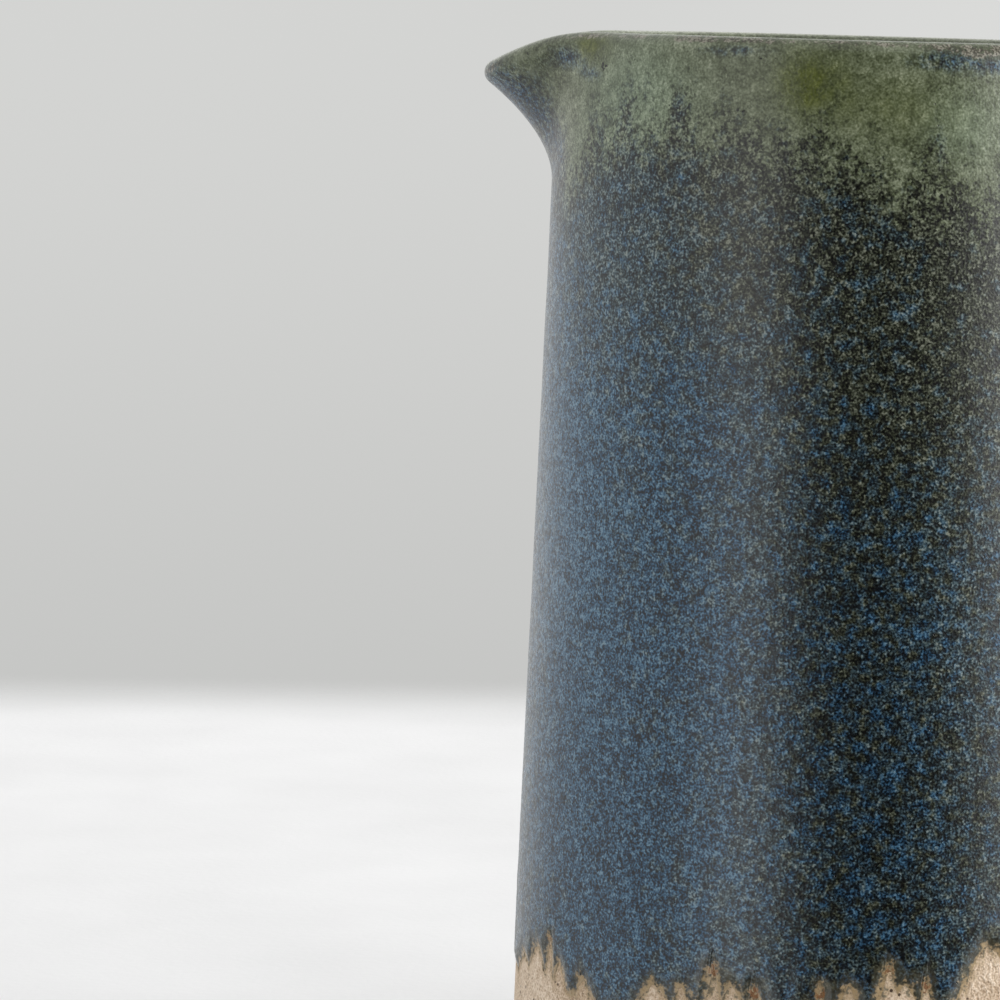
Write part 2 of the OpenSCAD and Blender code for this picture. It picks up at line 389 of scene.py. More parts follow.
def coat_piece(name, front, normals, back, replaced, masks):
    """A glaze coat: its visible front, and its back that lies on the clay, closed into a thin shell."""
    grid = np.concatenate([front, back])
    rows, columns = grid.shape[:2]
    back_normals = grid_normals(np.concatenate([front[-1:], back, front[:1]]))[1:-1]
    all_normals = np.concatenate([normals, back_normals]).reshape(-1, 3)
    padded = {k: np.concatenate([v, np.zeros((len(back), columns))]) for k, v in masks.items()}
    faces = ring_faces(rows, columns, closed=True)
    return piece_of(name, grid.reshape(-1, 3), faces, replaced, all_normals, padded)


def patch(phi, z, spots):
    """Sum of soft oval patches: angle, height in mm, half width in degrees, half height in mm, strength."""
    total = 0
    for at_phi, at_z, wide, high, strength in spots:
        total = total + strength * bell(turned(phi - at_phi), wide) * bell(z / MM - at_z, high)
    return total


# Where the green band under the rim ends: angle, height in mm
GREEN_EDGE = [
    (0, 166), (23, 167), (35, 173), (47, 176), (61, 175), (73, 171), (89, 171), (98, 166), (109, 164),
    (117, 160), (135, 166), (160, 171), (200, 172), (230, 165), (262, 171), (300, 168), (335, 172)]
GREEN_FADE = 26 * MM                        # height over which it turns blue
DRIPS = 1.3                                 # unevenness of its end, in mm


def green_edge(phi):
    """Height at which the green band under the rim turns blue: soft steps round the body with fine drips."""
    angles, heights = zip(*GREEN_EDGE)
    around = np.interp(turned(phi - 180) + 180, angles + (360,), heights + (heights[0],))
    drips = DRIPS * waves(phi, 0, 21, 10, 70, 1)
    return (around + drips) * MM


# Soft patches: angle, height in mm, half width in degrees, half height in mm, strength
OLIVE_SPOTS = [
    (0, 186, 6, 4, 0.7), (31, 188, 5, 3, 1.3), (82, 182, 7, 5, 1.1), (99, 178, 12, 5, 0.4),
    (150, 178, 9, 6, 0.7), (200, 183, 12, 5, 0.8), (252, 177, 8, 7, 0.7), (300, 182, 10, 5, 0.9),
    (340, 180, 7, 6, 0.6)]
BLUE_SPOTS = [
    (6, 178, 9, 7, 1.2), (6, 165, 8, 6, 0.8), (16, 169, 5, 5, 0.9), (23, 185.5, 5, 2, 0.9),
    (30, 183, 4, 1.3, 0.7), (48, 181, 2, 3, 0.3), (56.5, 177, 1.6, 3.5, 0.4), (67, 187, 8, 0.9, 0.7),
    (105.7, 172, 1.6, 5, 0.5), (106, 185.5, 7, 1.7, 0.8), (117, 184.5, 7, 1.7, 0.8), (140, 184, 7, 2, 0.7),
    (180, 180, 10, 4, 0.5), (222, 184, 8, 2, 0.8), (275, 178, 2, 6, 0.7), (315, 184, 12, 2, 0.8),
    (345, 184, 6, 3, 0.8)]
# Where the wall as a whole leans to blue, or, below zero, to olive
TINT_SPOTS = [
    (32, 95, 26, 60, 1.5), (44, 45, 24, 30, 0.8), (68, 90, 12, 55, 1.0), (100, 45, 22, 30, -0.1),
    (108, 142, 24, 26, -1.3), (72, 158, 22, 18, -0.9), (165, 90, 30, 40, 0.4), (205, 140, 26, 25, -1.0),
    (250, 70, 28, 50, 0.6), (300, 130, 26, 30, -1.0), (335, 80, 22, 50, 0.4)]
# Where the glaze is thicker and milkier or, below zero, darker; and where a few pits have burst through it
MILKY_SPOTS = [
    (7, 176, 9, 7, -1.8), (15, 181, 8, 7, -0.9), (15, 167, 6, 6, -1.0), (30, 112, 24, 60, 1.5),
    (47, 180, 15, 9, 1.1), (60, 160, 14, 15, 0.3), (68, 60, 9, 60, 0.6), (93, 75, 14, 75, -1.5),
    (110, 175, 11, 8, 1.0), (123, 75, 9, 60, -1.0), (150, 60, 20, 45, 0.5), (180, 180, 10, 5, -0.8),
    (235, 110, 24, 50, 0.7), (290, 60, 18, 40, 0.4), (315, 70, 14, 60, -1.0), (345, 120, 22, 50, 0.8)]
PITTED_SPOTS = [
    (34.7, 184.6, 1.3, 2.2, 1.0), (49, 183, 0.7, 0.9, 0.8), (142, 150, 1.5, 2, 0.9),
    (228, 120, 1.6, 2.4, 1.0), (283, 176, 1.4, 1.6, 0.9), (322, 64, 1.5, 2.2, 1.0)]


def glaze_masks(rows):
    """What the glaze material needs to know at each point of the skin."""
    phi = np.degrees(np.arctan2(-rows[..., 1], -rows[..., 0])) % 360
    z = rows[..., 2]
    return {
        "green": smooth(0.5 + (z - green_edge(phi)) / GREEN_FADE),
        "olive": patch(phi, z, OLIVE_SPOTS),
        "blue": patch(phi, z, BLUE_SPOTS),
        "tint": patch(phi, z, TINT_SPOTS),
        "milky": patch(phi, z, MILKY_SPOTS),
        "pits": patch(phi, z, PITTED_SPOTS),
        "rust": rust(phi, z),
        "edge_mm": edge_distance(rows)}


BREAK_BASE, BREAK_UNEVEN = 0.42, 0.22       # how strongly the glaze breaks to brown below the lip
BREAK_SPOTS = [(112, 16, 0.35), (60, 16, 0.25)]   # where it breaks more: angle, half width, strength
BREAK_MM, BREAK_HALF_MM = 1.9, 0.9          # distance of the brown from the crest, and its half width
LOW_BREAK_PHI, LOW_BREAK_HALF, LOW_BREAK_MM = 114, 10, 1.0   # where it reaches lower down, and how much
# Where the pale crest with its painted highlight lies: its distance from the crest and half width, in mm
CREST_MM, CREST_HALF_MM = 0.1, 0.6
INSIDE_FROM_MM, INSIDE_FADE_MM = 0.4, 3


def lip_masks(outside_mm):
    """Where the glaze breaks over the lip, by the distance from its crest down the outside: pale on the crest
    itself, with a painted highlight added there, and brown just below it, mostly towards the handle. Past the
    crest the inside begins, painted darker as shade."""
    spots = (strength * bell(turned(PHI - at), wide) for at, wide, strength in BREAK_SPOTS)
    breaking = sum(spots, BREAK_BASE) + BREAK_UNEVEN * waves(PHI, 0, 51, 12, 24, 1)
    lower = LOW_BREAK_MM * bell(turned(PHI - LOW_BREAK_PHI), LOW_BREAK_HALF)
    return {
        # the pale crest, which also carries a painted highlight
        "crest": bell(outside_mm - CREST_MM, CREST_HALF_MM),
        "brown": breaking * bell(outside_mm - BREAK_MM - lower, BREAK_HALF_MM + lower / 2),
        # the inside, which is painted darker as shade
        "inside": smooth((-outside_mm - INSIDE_FROM_MM) / INSIDE_FADE_MM)}


RUST_TO_ROUNDNESS = 1.45                    # peaks rounder than this have no stain
RUST_BELOW, RUST_HALF, RUST_HALF_MM = 1, 1.2, 1.4   # mm below the tip, half width in degrees, half height


def rust(phi, z):
    """Iron stains at the tips of the clay's sharper peaks."""
    tips = [
        (at, height - RUST_BELOW, RUST_HALF, RUST_HALF_MM, 1)
        for at, height, _, roundness in all_peaks() if roundness < RUST_TO_ROUNDNESS]
    return patch(phi, z, tips)


def build_coats():
    """The outer, rim and inside coats, cut from one skin so that they join without a seam."""
    outer = outer_rows()
    rim = rim_rows(GLAZE_T, RIM_ROWS, LIP_ROWS)
    liner = liner_rows(GLAZE_T, LINER_ROWS, COVE_ROWS, FLOOR_ROWS)
    rows = np.array(outer + rim[1:] + liner[1:])
    normals = grid_normals(rows)
    masks = glaze_masks(rows)
    steps = np.linalg.norm(np.diff(rows, axis=0, prepend=rows[:1]), axis=2)
    travelled = np.cumsum(steps, axis=0)
    crest = travelled[len(outer) - 1 + RIM_ROWS + LIP_ROWS // 2]
    masks.update(lip_masks((crest - travelled) / MM))

    def part(start, end):
        return rows[start:end], normals[start:end], {k: v[start:end] for k, v in masks.items()}

    rim_start, rim_end = len(outer) - 1, len(outer) + len(rim) - 2
    front, front_normals, front_masks = part(0, rim_start + 1)
    edge = edge_z(PHI)
    clay_side = [
        place(outer_r(PHI, z) - GLAZE_T + CLAY_SIDE, PHI, z)
        for z in (mix(edge, COLLAR_Z, share) for share in (1, 0.8, 0.6, 0.4, 0.2, 0.05))]
    outer_coat = coat_piece("outer_coat", front, front_normals, np.array(clay_side),
                            ["outer_glaze"], front_masks)

    front, front_normals, front_masks = part(rim_start, rim_end + 1)
    clay_side = rim_rows(CLAY_SIDE, 8, 6)[::-1]
    rim_coat = coat_piece("rim_coat", front, front_normals, np.array(clay_side),
                          ["rim_glaze"], front_masks)

    front, front_normals, front_masks = part(rim_end, len(rows))
    liner_coat = liner_piece(front, front_normals, front_masks)
    return outer_coat, rim_coat, liner_coat


def liner_piece(front, normals, masks):
    """The inside coat: like the others, but both of its sides close at the middle of the floor."""
    back = np.array(liner_rows(CLAY_SIDE, 10, 6, 5))[::-1]
    count, columns = len(front), front.shape[1]
    grid = np.concatenate([back, front])
    front_pole = np.array([[0, 0, front[-1, 0, 2]]])
    back_pole = np.array([[0, 0, back[0, 0, 2]]])
    points = np.concatenate([grid.reshape(-1, 3), front_pole, back_pole])
    poles = len(points) - 2
    faces = ring_faces(len(grid), columns)
    faces += fan((len(grid) - 1) * columns, columns, poles, False)
    faces += fan(0, columns, poles + 1, True)
    back_normals = grid_normals(back)
    all_normals = np.concatenate([
        np.concatenate([back_normals, normals]).reshape(-1, 3), [[0, 0, 1]], [[0, 0, -1]]])
    padded = {
        k: np.concatenate([np.zeros(len(back) * columns), v.ravel(), [v[-1, 0], 0]])
        for k, v in masks.items()}
    return piece_of("liner_coat", points, faces, ["liner_glaze"], all_normals, padded)


# ---- the clay body ----

FOOT_ROUND, CORNER_ROWS = 1.2 * MM, 4       # how far each corner of the foot is rounded, and its rows
RECESS_ROWS, RECESS_RING, RECESS_GROOVE = 16, 11 * MM, 0.12 * MM
SIDE_START_Z = FOOT_H + 1 * MM              # where the foot's rounding has passed into the wall
EDGE_FROM_Z, EDGE_TO_Z = 28 * MM, 46 * MM   # heights between which the glaze's edge lies
TURN_PITCH, TURN_DEPTH, TURN_Z = 3.6 * MM, 0.035 * MM, 9 * MM


def foot_rows():
    """Rows from the middle of the recess under the foot, over the foot ring and round its outer corner."""
    recess_r, inner_r = FOOT_RING_INNER_R - FOOT_H / 2, FOOT_RING_INNER_R
    flat_r, side_r = body_r(0) - GLAZE_T - FOOT_BEVEL, body_r(FOOT_H) - GLAZE_T
    outline = []
    for r in np.linspace(0, recess_r - FOOT_ROUND, RECESS_ROWS + 1)[1:]:
        groove = RECESS_GROOVE * (1 - math.cos(2 * math.pi * r / RECESS_RING))
        outline.append((r, FOOT_H - groove * smooth(r / (6 * MM))))
    slope = (mix(recess_r, inner_r, 0.6), FOOT_H * 0.4)
    bevel = (mix(flat_r, side_r, 0.5), FOOT_H / 2)
    outline += rounded((recess_r - FOOT_ROUND, FOOT_H), (recess_r, FOOT_H), slope)
    outline += rounded(slope, (inner_r, 0), (inner_r + FOOT_ROUND, 0))
    outline += [(mix(inner_r + FOOT_ROUND, flat_r - FOOT_ROUND, t), 0) for t in np.linspace(0, 1, 4)[1:]]
    outline += rounded((flat_r - FOOT_ROUND, 0), (flat_r, 0), bevel)
    outline += rounded(bevel, (side_r, FOOT_H), (body_r(SIDE_START_Z) - GLAZE_T, SIDE_START_Z))
    return [place(r + ZERO, PHI, z) for r, z in outline]


def rounded(start, corner, end):
    """Points after start along a soft corner."""
    start, corner, end = np.array(start), np.array(corner), np.array(end)
    points = []
    for t in np.linspace(0, 1, CORNER_ROWS + 1)[1:]:
        points.append(tuple((1 - t) ** 2 * start + 2 * t * (1 - t) * corner + t * t * end))
    return points


def clay_wall_rows():
    """Rows up the bare lower wall, closest along the glaze's edge, then a few hidden ones up to the rim."""
    below = np.linspace(SIDE_START_Z, EDGE_FROM_Z, 22)[1:]
    beside = np.linspace(EDGE_FROM_Z, EDGE_TO_Z, 31)[1:]
    rows = []
    for z in np.concatenate([below, beside]):
        turning = np.sin(2 * math.pi * (z / TURN_PITCH + PHI / 360)) * bell(z - TURN_Z, TURN_Z)
        rows.append(place(outer_r(PHI, z) - GLAZE_T + TURN_DEPTH * (turning - 1), PHI, z))
    for z in np.linspace(EDGE_TO_Z, COLLAR_Z, 5)[1:-1]:
        rows.append(place(outer_r(PHI, z) - GLAZE_T, PHI, z))
    return rows


def build_clay():
    """The whole clay vessel, of which only the part below the glaze and the foot show."""
    rows = foot_rows() + clay_wall_rows() + rim_rows(0, 6, 4) + liner_rows(0, 3, 5, 2)[1:]
    grid = np.array(rows)
    count, columns = grid.shape[:2]
    poles = np.array([[0, 0, grid[0, 0, 2]], [0, 0, grid[-1, 0, 2]]])
    points = np.concatenate([grid.reshape(-1, 3), poles])
    faces = ring_faces(count, columns)
    faces += fan(0, columns, count * columns, True)
    faces += fan((count - 1) * columns, columns, count * columns + 1, False)
    phi = np.degrees(np.arctan2(-grid[..., 1], -grid[..., 0])) % 360
    masks = {
        "edge_mm": np.append(edge_distance(grid), [99, 99]),
        "rust": np.append(rust(phi, grid[..., 2]), [0, 0])}
    return piece_of("clay_body", points, faces,
                    ["body_wall", "rim_and_spout", "floor_disc", "foot_ring"], None, masks)


# ---- the handle ----

HANDLE_START = np.array([body_r(HANDLE_TOP_Z) - GLAZE_T - ROOT_SINK, HANDLE_TOP_Z])
HANDLE_END = np.array([body_r(HANDLE_LOW_Z) - GLAZE_T - ROOT_SINK, HANDLE_LOW_Z])
HANDLE_REACH = body_r(HEIGHT) + HANDLE_PULL
UPPER_CONTROL = np.array([HANDLE_REACH, HANDLE_TOP_Z + HANDLE_ARCH])
LOWER_CONTROL = np.array([HANDLE_REACH, HANDLE_LOW_Z + HANDLE_BELLY])
FILLET = 3.2 * MM                            # how far the handle's root runs out on the wall
THUMB_GROOVE, THUMB_HALF = 0.9 * MM, 0.42   # depth down the back of the strap, and half width as a share
STRAP_UNEVEN = 0.16 * MM
STRAP_FREE = 0.12                           # share at each end over which the groove and unevenness fade out
HALVINGS, BARELY_IN = 40, 0.05 * MM         # of the search for where the handle leaves the wall
FILLET_SUNK, FILLET_HIDDEN = 0.04 * MM, 1.5 * MM   # depths in the wall of its outer end and of its hidden row


def strap_mid(s):
    """The handle's middle line in the plane y = 0, as x and z."""
    s = np.asarray(s)[..., None]
    return (
        (1 - s) ** 3 * HANDLE_START + 3 * (1 - s) ** 2 * s * UPPER_CONTROL
        + 3 * (1 - s) * s ** 2 * LOWER_CONTROL + s ** 3 * HANDLE_END)


def strap_surface(s, a):
    """Points of the glazed handle at share s of its length and angle a round its cut."""
    mid = strap_mid(s)
    way = unit(strap_mid(s + SLOPE_STEP) - strap_mid(s - SLOPE_STEP))
    flare = bell(s, ROOT_FADE) + LOW_FLARE_SHARE * bell(1 - s, ROOT_FADE)
    free = smooth(s / STRAP_FREE) * smooth((1 - s) / STRAP_FREE)
    uneven = STRAP_UNEVEN * free * (1 + waves(np.degrees(a), s, 41, 8, 4, 0.3))
    half_w = mix(STRAP_W_TOP, STRAP_W_LOW, s) / 2 + ROOT_FLARE_W / 2 * flare + GLAZE_T - uneven
    half_t = mix(STRAP_T_TOP, STRAP_T_LOW, s) / 2 + ROOT_FLARE_T / 2 * flare + GLAZE_T - uneven
    cos_a, sin_a = np.cos(a), np.sin(a)
    across = half_w * np.sign(cos_a) * np.abs(cos_a) ** OVAL_POWER
    through = half_t * np.sign(sin_a) * np.abs(sin_a) ** OVAL_POWER
    groove = THUMB_GROOVE * free * bell(across / half_w, THUMB_HALF) * (sin_a > 0)
    through = through - groove * smooth(sin_a * 2)
    return np.stack([mid[..., 0] - way[..., 1] * through, -across, mid[..., 1] + way[..., 0] * through], -1)


def wall_contact(a, low, high):
    """Share of the handle's length at which its surface comes out of the wall, found by halving."""
    inside, clear = np.full(a.shape, low), np.full(a.shape, high)
    for _ in range(HALVINGS):
        s = (inside + clear) / 2
        p = strap_surface(s, a)
        in_wall = np.hypot(p[..., 0], p[..., 1]) < body_r(p[..., 2]) - BARELY_IN
        inside, clear = np.where(in_wall, s, inside), np.where(in_wall, clear, s)
    return (inside + clear) / 2


def on_wall(points, sunk):
    """The same points moved in or out onto the glazed wall, or sunk below it."""
    phi = np.degrees(np.arctan2(-points[..., 1], -points[..., 0])) % 360
    return place(outer_r(phi, points[..., 2]) - sunk, phi, points[..., 2])


def fillet_rows(a, contact, onward):
    """Rows from inside the wall, along it and round into the handle's surface, for one end of the handle."""
    touch = strap_surface(contact, a)
    loop = np.roll(touch, -1, 0) - np.roll(touch, 1, 0)
    away = unit(np.cross(loop, unit(touch * [1, 1, 0])))
    away *= np.sign(np.sum(away * (touch - touch.mean(0)), -1, keepdims=True))
    start = on_wall(touch + FILLET * away, FILLET_SUNK)
    end = strap_surface(onward, a)
    rows = [on_wall(touch + FILLET * away, FILLET_HIDDEN)]
    for t in np.linspace(0, 1, FILLET_ROWS):
        rows.append((1 - t) ** 2 * start + 2 * t * (1 - t) * touch + t * t * end)
    return rows


def build_handle():
    """The strap with both roots, closed inside the wall."""
    a = np.linspace(2 * math.pi, 0, HANDLE_SIDES, endpoint=False)
    length = np.linalg.norm(np.diff(strap_mid(np.linspace(0, 1, 200)), axis=0), axis=1).sum()
    onward = FILLET / length
    first = wall_contact(a, -0.02, 0.2)
    last = wall_contact(a, 1.02, 0.8)
    rows = fillet_rows(a, first, first + onward)
    for t in np.linspace(0, 1, HANDLE_ROWS)[1:-1]:
        rows.append(strap_surface(mix(first + onward, last - onward, t), a))
    rows += fillet_rows(a, last, last - onward)[::-1]
    grid = np.array(rows)
    count, columns = grid.shape[:2]
    points = np.concatenate([grid.reshape(-1, 3), [grid[0].mean(0)], [grid[-1].mean(0)]])
    faces = ring_faces(count, columns)
    faces += fan(0, columns, count * columns, True)
    faces += fan((count - 1) * columns, columns, count * columns + 1, False)
    share = np.linspace(0, 1, count)[:, None] + 0 * a
    edges = np.abs(np.cos(a)) ** 8 * smooth(share / 0.08) * smooth((1 - share) / 0.08)
    pool = bell(share, 0.05) + bell(1 - share, 0.05)
    masks = {
        "green": 0.9 * smooth(1 - share / 0.4),
        "olive": 0.5 * bell(share - 0.3, 0.12),
        "blue": 0.6 * bell(share - 0.75, 0.15) + pool,
        "tint": 0.1 + 0 * share,
        "milky": 0.4 + 0 * share,
        "rust": 0 * share,
        "edge_mm": 99 + 0 * share,
        "crest": 0 * share,
        "inside": 0 * share,
        "pits": 0 * share,
        "brown": 0.9 * edges}
    padded = {k: np.append(np.ravel(v), [v[0, 0], v[-1, 0]]) for k, v in masks.items()}
    return piece_of("handle", points, faces,
                    ["handle_strap", "handle_upper_root", "handle_lower_root", "handle_glaze"], None, padded)


# ---- materials ----

class Graph:
    """The node tree of a material or of the world, with short calls for the nodes needed here."""

    def __init__(self, owner, coordinates="Object"):
        owner.use_nodes = True
        self.tree = owner.node_tree
        self.where = self.node("ShaderNodeTexCoord").outputs[coordinates]

    def node(self, kind, **settings):
        made = self.tree.nodes.new(kind)
        for key, value in settings.items():
            setattr(made, key, value)
        return made

    def put(self, socket, value):
        """Links or sets one input."""
        if isinstance(value, bpy.types.NodeSocket):
            self.tree.links.new(value, socket)
        elif isinstance(value, tuple) and len(value) == 3 and len(socket.default_value) == 4:
            socket.default_value = (*value, 1)
        else:
            socket.default_value = value

    def math(self, operation, *values, clamp=False):
        made = self.node("ShaderNodeMath", operation=operation, use_clamp=clamp)
        for socket, value in zip(made.inputs, values):
            self.put(socket, value)
        return made.outputs[0]

    def add(self, a, b):
        return self.math("ADD", a, b)

    def times(self, a, b, clamp=False):
        return self.math("MULTIPLY", a, b, clamp=clamp)

    def weigh(self, start, *parts):
        """start plus each part's distance from a half, times its weight."""
        total = start
        for part, weight in parts:
            total = self.math("MULTIPLY_ADD", part, weight, self.add(total, -weight / 2))
        return total

    def mask(self, name):
        return self.node("ShaderNodeAttribute", attribute_name=name).outputs["Fac"]

    def stretch(self, factors):
        made = self.node("ShaderNodeVectorMath", operation="MULTIPLY")
        self.put(made.inputs[0], self.where)
        self.put(made.inputs[1], factors)
        return made.outputs[0]

    def noise(self, period_mm, detail=2.0, roughness=0.5, stretch=(1, 1, 1), w=None):
        """Noise whose features are about period_mm apart."""
        made = self.node("ShaderNodeTexNoise", noise_dimensions="3D" if w is None else "4D")
        self.put(made.inputs["Vector"], self.stretch(stretch))
        self.put(made.inputs["Scale"], 1 / (period_mm * MM))
        self.put(made.inputs["Detail"], detail)
        self.put(made.inputs["Roughness"], roughness)
        if w is not None:
            self.put(made.inputs["W"], w)
        return made.outputs["Fac"]

    def cells(self, period_mm, output="Distance"):
        made = self.node("ShaderNodeTexVoronoi")
        self.put(made.inputs["Vector"], self.where)
        self.put(made.inputs["Scale"], 1 / (period_mm * MM))
        return made.outputs[output]

    def span(self, value, low, high, to_low=0.0, to_high=1.0):
        """Smooth map of low..high onto to_low..to_high."""
        made = self.node("ShaderNodeMapRange", interpolation_type="SMOOTHSTEP")
        for socket, item in zip(made.inputs, (value, low, high, to_low, to_high)):
            self.put(socket, item)
        return made.outputs[0]

    def ramp(self, value, stops):
        made = self.node("ShaderNodeValToRGB")
        elements = made.color_ramp.elements
        while len(elements) < len(stops):
            elements.new(0.5)
        for element, (at, color) in zip(elements, stops):
            element.position = at
            element.color = (*color, 1)
        self.put(made.inputs[0], value)
        return made.outputs[0]

    def blend(self, factor, a, b):
        made = self.node("ShaderNodeMix", data_type="RGBA")
        for socket, item in zip((made.inputs[0], made.inputs[6], made.inputs[7]), (factor, a, b)):
            self.put(socket, item)
        return made.outputs[2]

    def bump(self, height, distance_mm):
        made = self.node("ShaderNodeBump")
        self.put(made.inputs["Strength"], 1.0)
        self.put(made.inputs["Distance"], distance_mm * MM)
        self.put(made.inputs["Height"], height)
        return made.outputs[0]

    def split(self):
        """The three parts of where."""
        made = self.node("ShaderNodeSeparateXYZ")
        self.put(made.inputs[0], self.where)
        return made.outputs

    def surface(self, **values):
        """Sets the material's shader, with a space in a name written as an underscore."""
        shader = self.tree.nodes["Principled BSDF"]
        for key, value in values.items():
            self.put(shader.inputs[key.replace("_", " ")], value)


# Colours of the glaze's grounds and of the clay, from their darkest grains to their palest
COBALT_GROUND = [
    (0.10, (0.000, 0.001, 0.003)), (0.30, (0.002, 0.009, 0.018)), (0.45, (0.008, 0.029, 0.058)),
    (0.58, (0.022, 0.070, 0.128)), (0.74, (0.053, 0.130, 0.208)), (0.92, (0.130, 0.225, 0.300))]
SLATE_GROUND = [
    (0.10, (0.001, 0.002, 0.003)), (0.30, (0.005, 0.009, 0.011)), (0.45, (0.015, 0.027, 0.033)),
    (0.58, (0.033, 0.057, 0.068)), (0.74, (0.082, 0.124, 0.136)), (0.92, (0.200, 0.240, 0.235))]
OLIVE_GROUND = [
    (0.10, (0.001, 0.001, 0.001)), (0.30, (0.006, 0.007, 0.004)), (0.45, (0.019, 0.022, 0.013)),
    (0.58, (0.041, 0.047, 0.030)), (0.74, (0.092, 0.102, 0.074)), (0.92, (0.190, 0.200, 0.155))]
GREEN_GROUND = [
    (0.10, (0.024, 0.028, 0.012)), (0.30, (0.056, 0.067, 0.032)), (0.45, (0.092, 0.109, 0.059)),
    (0.58, (0.130, 0.151, 0.091)), (0.74, (0.192, 0.217, 0.142)), (0.92, (0.300, 0.325, 0.232))]
MINT_GROUND = [
    (0.20, (0.050, 0.068, 0.036)), (0.45, (0.112, 0.145, 0.088)), (0.65, (0.170, 0.215, 0.140)),
    (0.85, (0.275, 0.330, 0.230))]
MOSS_GROUND = [
    (0.10, (0.022, 0.028, 0.002)), (0.35, (0.045, 0.057, 0.006)), (0.60, (0.076, 0.092, 0.016)),
    (0.90, (0.140, 0.160, 0.050))]
# Green glaze inside the vessel, darker than the band outside as painted shade
INNER_GROUND_AND_SHADE = [
    (0.20, (0.012, 0.015, 0.006)), (0.50, (0.042, 0.052, 0.026)), (0.80, (0.100, 0.116, 0.068))]
BREAK_BROWN = [
    (0.20, (0.016, 0.012, 0.008)), (0.50, (0.066, 0.054, 0.036)), (0.75, (0.235, 0.218, 0.175))]
# Pale crest of the lip, where the glaze runs thin, made paler still as a painted highlight
PALE_CREST_AND_HIGHLIGHT = (0.40, 0.42, 0.34)
THIN_BROWN = (0.075, 0.065, 0.036)
OCHRE = (0.40, 0.285, 0.150)
RUST = (0.20, 0.080, 0.026)
PIT = (0.004, 0.004, 0.003)
CLAY = [
    (0.20, (0.370, 0.262, 0.170)), (0.40, (0.535, 0.408, 0.287)), (0.60, (0.680, 0.540, 0.405)),
    (0.80, (0.810, 0.685, 0.545))]
EDGE_SHADE = (0.090, 0.085, 0.055)          # glaze too thin to cover, just below its edge
IRON_SPECK = (0.060, 0.035, 0.020)
GLAZE_IOR, CLAY_IOR = 1.52, 1.5


class Grains:
    """What varies in a glaze from grain to grain, and the masks that several of its layers share."""

    def __init__(self, g):
        self.g = g
        self.grain = g.noise(0.36, 0.0)
        self.crystals = g.cells(0.42, "Color")
        self.fine = g.noise(0.80, 1.0, 0.5, w=1.0)
        self.medium = g.noise(2.2, 2.0, 0.5)
        self.streak = g.noise(6.0, 3.0, 0.6, stretch=(1, 1, 0.3))
        self.milky, self.blue, self.green = g.mask("milky"), g.mask("blue"), g.mask("green")
        centred = g.math("MULTIPLY_ADD", self.green, 2.0, -1.0)
        self.border = g.math("SUBTRACT", 1.0, g.math("POWER", centred, 2.0))
        self.value = self.brightness()

    def brightness(self):
        """0 in the darkest grains and 1 in the palest. Dark glaze has less contrast, milky glaze is paler."""
        g = self.g
        contrast = g.math("MULTIPLY_ADD", g.math("MINIMUM", self.milky, 0.0), 0.12, 1.0)
        grains = g.weigh(0.0, (self.crystals, 0.42), (self.grain, 1.05), (self.fine, 0.75))
        mixed = g.weigh(grains, (self.medium, 0.55))
        value = g.math("MULTIPLY_ADD", self.milky, 0.05, g.add(g.times(mixed, contrast), 0.5))
        return g.math("MULTIPLY_ADD", g.math("MAXIMUM", self.milky, 0.0), 0.022, value)


def wall_color(g, n):
    """Olive, slate and cobalt grains side by side."""
    hue = g.noise(2.0, 2.0, 0.6, w=3.0)
    drift = g.noise(24.0, 2.0, 0.5, stretch=(1, 1, 0.5))
    swing = g.math("MULTIPLY_ADD", n.milky, -0.5, 1.5)      # darker glaze varies more in colour
    tint = g.weigh(g.math("MULTIPLY_ADD", g.add(hue, -0.5), swing, 0.5), (drift, 0.4))
    for part, weight in (g.mask("tint"), 0.20), (n.blue, 0.20), (n.border, -0.22):
        tint = g.add(tint, g.times(part, weight))
    olive, slate = g.ramp(n.value, OLIVE_GROUND), g.ramp(n.value, SLATE_GROUND)
    ground = g.blend(g.span(tint, 0.25, 0.50), olive, slate)
    return g.blend(g.span(tint, 0.50, 0.80), ground, g.ramp(n.value, COBALT_GROUND))


def under_green(g, n, color):
    """The green band over the wall's colour: it breaks up at its border and where the glaze is blue."""
    soft = g.weigh(0.5, (n.value, 0.55), (n.medium, 0.4), (n.streak, 0.5))
    green = g.blend(g.span(n.milky, 0.1, 1.5), g.ramp(soft, GREEN_GROUND), g.ramp(soft, MINT_GROUND))
    moss = g.times(g.mask("olive"), g.weigh(0.8, (n.streak, 2.5), (n.medium, 1.5)), clamp=True)
    green = g.blend(moss, green, g.ramp(soft, MOSS_GROUND))
    breakup = g.weigh(0.0, (n.streak, 1.4), (n.medium, 0.8), (n.fine, 1.2), (n.crystals, 0.5))
    band = g.add(n.green, g.times(breakup, g.add(n.border, 0.15)))
    band = g.add(band, g.times(n.blue, g.weigh(-0.8, (n.fine, 1.5))))
    return g.blend(g.span(band, 0.05, 0.95), color, green)


def over_lip(g, n, color):
    """Dark green inside, darkened as painted shade, brown speckle where the glaze breaks below the lip, and
    the lip's pale crest with a painted highlight.
    """
    # Painted shade: the inside gets a darker green ground
    color = g.blend(g.mask("inside"), color, g.ramp(n.value, INNER_GROUND_AND_SHADE))
    speckle = g.weigh(1.0, (n.medium, 2.5), (n.fine, 2.0), (n.crystals, 1.0))
    brown = g.span(g.times(g.mask("brown"), speckle), 0.35, 0.65, 0.0, 0.85)
    color = g.blend(brown, color, g.ramp(n.value, BREAK_BROWN))
    # Painted highlight: the lip's crest is blended towards a pale colour
    crest = g.times(g.mask("crest"), g.span(n.value, 0.25, 0.55, 0.5, 0.95))
    return g.blend(crest, color, PALE_CREST_AND_HIGHLIGHT)


